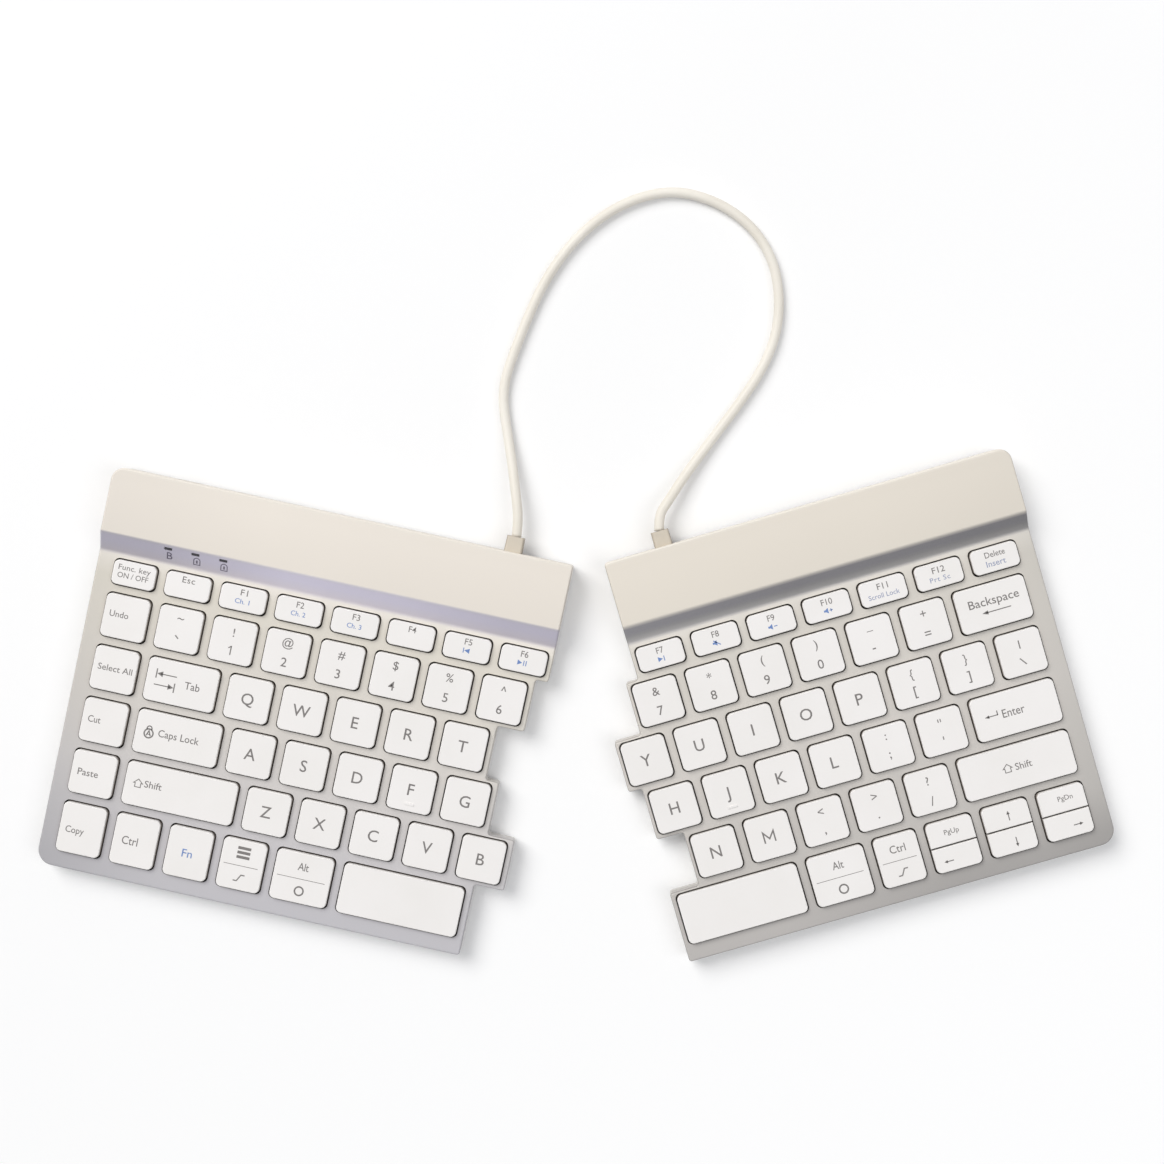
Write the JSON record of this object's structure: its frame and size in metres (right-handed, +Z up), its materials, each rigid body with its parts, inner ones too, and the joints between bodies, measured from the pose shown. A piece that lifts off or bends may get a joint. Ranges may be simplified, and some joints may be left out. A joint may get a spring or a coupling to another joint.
{
  "type": "ergonomic split keyboard",
  "caption": "Low split desk keyboard: two splayed halves with scissor keys, each with a raised rear bar, joined at the rear by a cable",
  "frame": {"origin": "on the desk, under the middle of the two halves' bounding box, the cable left out", "axes": "+X to the typist's right, +Y away from the typist, towards the cable, +Z up"},
  "size_m": [0.372, 0.2662, 0.012],
  "materials": {
    "cap_plastic": "fine matte, white",
    "cover_plastic": "satin, warm silver beige",
    "base_plastic": "fine matte, off-white",
    "foot_rubber": "matte grey",
    "screw_steel": "turned",
    "plate_aluminium": "satin",
    "membrane_film": "translucent film with printed lines",
    "link_plastic": "natural white",
    "dome_rubber": "milky silicone",
    "relief_rubber": "matte warm grey",
    "board_laminate": "green solder mask",
    "battery_foil": "silver foil",
    "socket_steel": "drawn shell",
    "switch_plastic": "matte grey",
    "light_plastic": "milky clear",
    "cable_jacket": "matte ivory"
  },
  "bodies": {
    "left_half": {"left_top_cover": "cover_plastic", "left_bottom_cover": "base_plastic", "left_feet": "foot_rubber", "left_case_screws": "screw_steel", "left_key_plate": "plate_aluminium", "left_membrane": "membrane_film", "left_scissor_links": "link_plastic", "left_rubber_domes": "dome_rubber", "left_strain_relief": "relief_rubber", "main_circuit_board": "board_laminate", "battery_cell": "battery_foil", "charging_socket": "socket_steel", "status_light_guide": "light_plastic", "link_cable": "cable_jacket"},
    "right_half": {"right_top_cover": "cover_plastic", "right_bottom_cover": "base_plastic", "right_feet": "foot_rubber", "right_case_screws": "screw_steel", "right_key_plate": "plate_aluminium", "right_membrane": "membrane_film", "right_scissor_links": "link_plastic", "right_rubber_domes": "dome_rubber", "right_strain_relief": "relief_rubber", "link_circuit_board": "board_laminate"},
    "power_switch": {"power_switch_slider": "switch_plastic"},
    "func_key": {"func_key": "cap_plastic"},
    "escape_key": {"escape_key": "cap_plastic"},
    "left_function_keys": {"left_function_keys": "cap_plastic"},
    "edit_keys": {"edit_keys": "cap_plastic"},
    "left_number_keys": {"left_number_keys": "cap_plastic"},
    "tab_key": {"tab_key": "cap_plastic"},
    "left_upper_letter_keys": {"left_upper_letter_keys": "cap_plastic"},
    "caps_lock_key": {"caps_lock_key": "cap_plastic"},
    "left_home_letter_keys": {"left_home_letter_keys": "cap_plastic"},
    "left_shift_key": {"left_shift_key": "cap_plastic"},
    "left_lower_letter_keys": {"left_lower_letter_keys": "cap_plastic"},
    "left_control_key": {"left_control_key": "cap_plastic"},
    "fn_key": {"fn_key": "cap_plastic"},
    "system_key": {"system_key": "cap_plastic"},
    "left_alt_key": {"left_alt_key": "cap_plastic"},
    "left_space_bar": {"left_space_bar": "cap_plastic"},
    "right_function_keys": {"right_function_keys": "cap_plastic"},
    "delete_key": {"delete_key": "cap_plastic"},
    "right_number_keys": {"right_number_keys": "cap_plastic"},
    "backspace_key": {"backspace_key": "cap_plastic"},
    "right_upper_letter_keys": {"right_upper_letter_keys": "cap_plastic"},
    "right_home_letter_keys": {"right_home_letter_keys": "cap_plastic"},
    "enter_key": {"enter_key": "cap_plastic"},
    "right_lower_letter_keys": {"right_lower_letter_keys": "cap_plastic"},
    "right_shift_key": {"right_shift_key": "cap_plastic"},
    "right_space_bar": {"right_space_bar": "cap_plastic"},
    "right_alt_key": {"right_alt_key": "cap_plastic"},
    "right_control_key": {"right_control_key": "cap_plastic"},
    "page_up_key": {"page_up_key": "cap_plastic"},
    "up_arrow_key": {"up_arrow_key": "cap_plastic"},
    "page_down_key": {"page_down_key": "cap_plastic"},
    "left_arrow_key": {"left_arrow_key": "cap_plastic"},
    "down_arrow_key": {"down_arrow_key": "cap_plastic"},
    "right_arrow_key": {"right_arrow_key": "cap_plastic"}
  },
  "joints": [
    {"name": "right_half_swing", "type": "hinge", "parent": "left_half", "child": "right_half", "pos_m": [0.00436, 0.06737, 0], "axis": [0, 0, 1], "range_deg": [-28.54, 30], "deforming": ["link_cable"]},
    {"name": "power_switch_slide", "type": "slide", "parent": "left_half", "child": "power_switch", "axis": [0.9772, -0.2125, 0], "range_m": [0, 0.003]},
    {"name": "func_key_press", "type": "slide", "parent": "left_half", "child": "func_key", "axis": [0, 0, 1], "range_m": [-0.0018, 0], "stiffness_N_per_m": 300, "springref_m": 0.0005, "deforming": ["left_scissor_links", "left_rubber_domes"]},
    {"name": "escape_key_press", "type": "slide", "parent": "left_half", "child": "escape_key", "axis": [0, 0, 1], "range_m": [-0.0018, 0], "stiffness_N_per_m": 300, "springref_m": 0.0005, "deforming": ["left_scissor_links", "left_rubber_domes"]},
    {"name": "left_function_keys_press", "type": "slide", "parent": "left_half", "child": "left_function_keys", "axis": [0, 0, 1], "range_m": [-0.0018, 0], "stiffness_N_per_m": 1800, "springref_m": 0.0005, "deforming": ["left_scissor_links", "left_rubber_domes"]},
    {"name": "edit_keys_press", "type": "slide", "parent": "left_half", "child": "edit_keys", "axis": [0, 0, 1], "range_m": [-0.0018, 0], "stiffness_N_per_m": 1500, "springref_m": 0.0005, "deforming": ["left_scissor_links", "left_rubber_domes"]},
    {"name": "left_number_keys_press", "type": "slide", "parent": "left_half", "child": "left_number_keys", "axis": [0, 0, 1], "range_m": [-0.0018, 0], "stiffness_N_per_m": 2100, "springref_m": 0.0005, "deforming": ["left_scissor_links", "left_rubber_domes"]},
    {"name": "tab_key_press", "type": "slide", "parent": "left_half", "child": "tab_key", "axis": [0, 0, 1], "range_m": [-0.0018, 0], "stiffness_N_per_m": 300, "springref_m": 0.0005, "deforming": ["left_scissor_links", "left_rubber_domes"]},
    {"name": "left_upper_letter_keys_press", "type": "slide", "parent": "left_half", "child": "left_upper_letter_keys", "axis": [0, 0, 1], "range_m": [-0.0018, 0], "stiffness_N_per_m": 1500, "springref_m": 0.0005, "deforming": ["left_scissor_links", "left_rubber_domes"]},
    {"name": "caps_lock_key_press", "type": "slide", "parent": "left_half", "child": "caps_lock_key", "axis": [0, 0, 1], "range_m": [-0.0018, 0], "stiffness_N_per_m": 300, "springref_m": 0.0005, "deforming": ["left_scissor_links", "left_rubber_domes"]},
    {"name": "left_home_letter_keys_press", "type": "slide", "parent": "left_half", "child": "left_home_letter_keys", "axis": [0, 0, 1], "range_m": [-0.0018, 0], "stiffness_N_per_m": 1500, "springref_m": 0.0005, "deforming": ["left_scissor_links", "left_rubber_domes"]},
    {"name": "left_shift_key_press", "type": "slide", "parent": "left_half", "child": "left_shift_key", "axis": [0, 0, 1], "range_m": [-0.0018, 0], "stiffness_N_per_m": 300, "springref_m": 0.0005, "deforming": ["left_scissor_links", "left_rubber_domes"]},
    {"name": "left_lower_letter_keys_press", "type": "slide", "parent": "left_half", "child": "left_lower_letter_keys", "axis": [0, 0, 1], "range_m": [-0.0018, 0], "stiffness_N_per_m": 1500, "springref_m": 0.0005, "deforming": ["left_scissor_links", "left_rubber_domes"]},
    {"name": "left_control_key_press", "type": "slide", "parent": "left_half", "child": "left_control_key", "axis": [0, 0, 1], "range_m": [-0.0018, 0], "stiffness_N_per_m": 300, "springref_m": 0.0005, "deforming": ["left_scissor_links", "left_rubber_domes"]},
    {"name": "fn_key_press", "type": "slide", "parent": "left_half", "child": "fn_key", "axis": [0, 0, 1], "range_m": [-0.0018, 0], "stiffness_N_per_m": 300, "springref_m": 0.0005, "deforming": ["left_scissor_links", "left_rubber_domes"]},
    {"name": "system_key_press", "type": "slide", "parent": "left_half", "child": "system_key", "axis": [0, 0, 1], "range_m": [-0.0018, 0], "stiffness_N_per_m": 300, "springref_m": 0.0005, "deforming": ["left_scissor_links", "left_rubber_domes"]},
    {"name": "left_alt_key_press", "type": "slide", "parent": "left_half", "child": "left_alt_key", "axis": [0, 0, 1], "range_m": [-0.0018, 0], "stiffness_N_per_m": 300, "springref_m": 0.0005, "deforming": ["left_scissor_links", "left_rubber_domes"]},
    {"name": "left_space_bar_press", "type": "slide", "parent": "left_half", "child": "left_space_bar", "axis": [0, 0, 1], "range_m": [-0.0018, 0], "stiffness_N_per_m": 300, "springref_m": 0.0005, "deforming": ["left_scissor_links", "left_rubber_domes"]},
    {"name": "right_function_keys_press", "type": "slide", "parent": "right_half", "child": "right_function_keys", "axis": [0, 0, 1], "range_m": [-0.0018, 0], "stiffness_N_per_m": 1800, "springref_m": 0.0005, "deforming": ["right_scissor_links", "right_rubber_domes"]},
    {"name": "delete_key_press", "type": "slide", "parent": "right_half", "child": "delete_key", "axis": [0, 0, 1], "range_m": [-0.0018, 0], "stiffness_N_per_m": 300, "springref_m": 0.0005, "deforming": ["right_scissor_links", "right_rubber_domes"]},
    {"name": "right_number_keys_press", "type": "slide", "parent": "right_half", "child": "right_number_keys", "axis": [0, 0, 1], "range_m": [-0.0018, 0], "stiffness_N_per_m": 1800, "springref_m": 0.0005, "deforming": ["right_scissor_links", "right_rubber_domes"]},
    {"name": "backspace_key_press", "type": "slide", "parent": "right_half", "child": "backspace_key", "axis": [0, 0, 1], "range_m": [-0.0018, 0], "stiffness_N_per_m": 300, "springref_m": 0.0005, "deforming": ["right_scissor_links", "right_rubber_domes"]},
    {"name": "right_upper_letter_keys_press", "type": "slide", "parent": "right_half", "child": "right_upper_letter_keys", "axis": [0, 0, 1], "range_m": [-0.0018, 0], "stiffness_N_per_m": 2400, "springref_m": 0.0005, "deforming": ["right_scissor_links", "right_rubber_domes"]},
    {"name": "right_home_letter_keys_press", "type": "slide", "parent": "right_half", "child": "right_home_letter_keys", "axis": [0, 0, 1], "range_m": [-0.0018, 0], "stiffness_N_per_m": 1800, "springref_m": 0.0005, "deforming": ["right_scissor_links", "right_rubber_domes"]},
    {"name": "enter_key_press", "type": "slide", "parent": "right_half", "child": "enter_key", "axis": [0, 0, 1], "range_m": [-0.0018, 0], "stiffness_N_per_m": 300, "springref_m": 0.0005, "deforming": ["right_scissor_links", "right_rubber_domes"]},
    {"name": "right_lower_letter_keys_press", "type": "slide", "parent": "right_half", "child": "right_lower_letter_keys", "axis": [0, 0, 1], "range_m": [-0.0018, 0], "stiffness_N_per_m": 1500, "springref_m": 0.0005, "deforming": ["right_scissor_links", "right_rubber_domes"]},
    {"name": "right_shift_key_press", "type": "slide", "parent": "right_half", "child": "right_shift_key", "axis": [0, 0, 1], "range_m": [-0.0018, 0], "stiffness_N_per_m": 300, "springref_m": 0.0005, "deforming": ["right_scissor_links", "right_rubber_domes"]},
    {"name": "right_space_bar_press", "type": "slide", "parent": "right_half", "child": "right_space_bar", "axis": [0, 0, 1], "range_m": [-0.0018, 0], "stiffness_N_per_m": 300, "springref_m": 0.0005, "deforming": ["right_scissor_links", "right_rubber_domes"]},
    {"name": "right_alt_key_press", "type": "slide", "parent": "right_half", "child": "right_alt_key", "axis": [0, 0, 1], "range_m": [-0.0018, 0], "stiffness_N_per_m": 300, "springref_m": 0.0005, "deforming": ["right_scissor_links", "right_rubber_domes"]},
    {"name": "right_control_key_press", "type": "slide", "parent": "right_half", "child": "right_control_key", "axis": [0, 0, 1], "range_m": [-0.0018, 0], "stiffness_N_per_m": 300, "springref_m": 0.0005, "deforming": ["right_scissor_links", "right_rubber_domes"]},
    {"name": "page_up_key_press", "type": "slide", "parent": "right_half", "child": "page_up_key", "axis": [0, 0, 1], "range_m": [-0.0018, 0], "stiffness_N_per_m": 300, "springref_m": 0.0005, "deforming": ["right_scissor_links", "right_rubber_domes"]},
    {"name": "up_arrow_key_press", "type": "slide", "parent": "right_half", "child": "up_arrow_key", "axis": [0, 0, 1], "range_m": [-0.0018, 0], "stiffness_N_per_m": 300, "springref_m": 0.0005, "deforming": ["right_scissor_links", "right_rubber_domes"]},
    {"name": "page_down_key_press", "type": "slide", "parent": "right_half", "child": "page_down_key", "axis": [0, 0, 1], "range_m": [-0.0018, 0], "stiffness_N_per_m": 300, "springref_m": 0.0005, "deforming": ["right_scissor_links", "right_rubber_domes"]},
    {"name": "left_arrow_key_press", "type": "slide", "parent": "right_half", "child": "left_arrow_key", "axis": [0, 0, 1], "range_m": [-0.0018, 0], "stiffness_N_per_m": 300, "springref_m": 0.0005, "deforming": ["right_scissor_links", "right_rubber_domes"]},
    {"name": "down_arrow_key_press", "type": "slide", "parent": "right_half", "child": "down_arrow_key", "axis": [0, 0, 1], "range_m": [-0.0018, 0], "stiffness_N_per_m": 300, "springref_m": 0.0005, "deforming": ["right_scissor_links", "right_rubber_domes"]},
    {"name": "right_arrow_key_press", "type": "slide", "parent": "right_half", "child": "right_arrow_key", "axis": [0, 0, 1], "range_m": [-0.0018, 0], "stiffness_N_per_m": 300, "springref_m": 0.0005, "deforming": ["right_scissor_links", "right_rubber_domes"]}
  ]
}
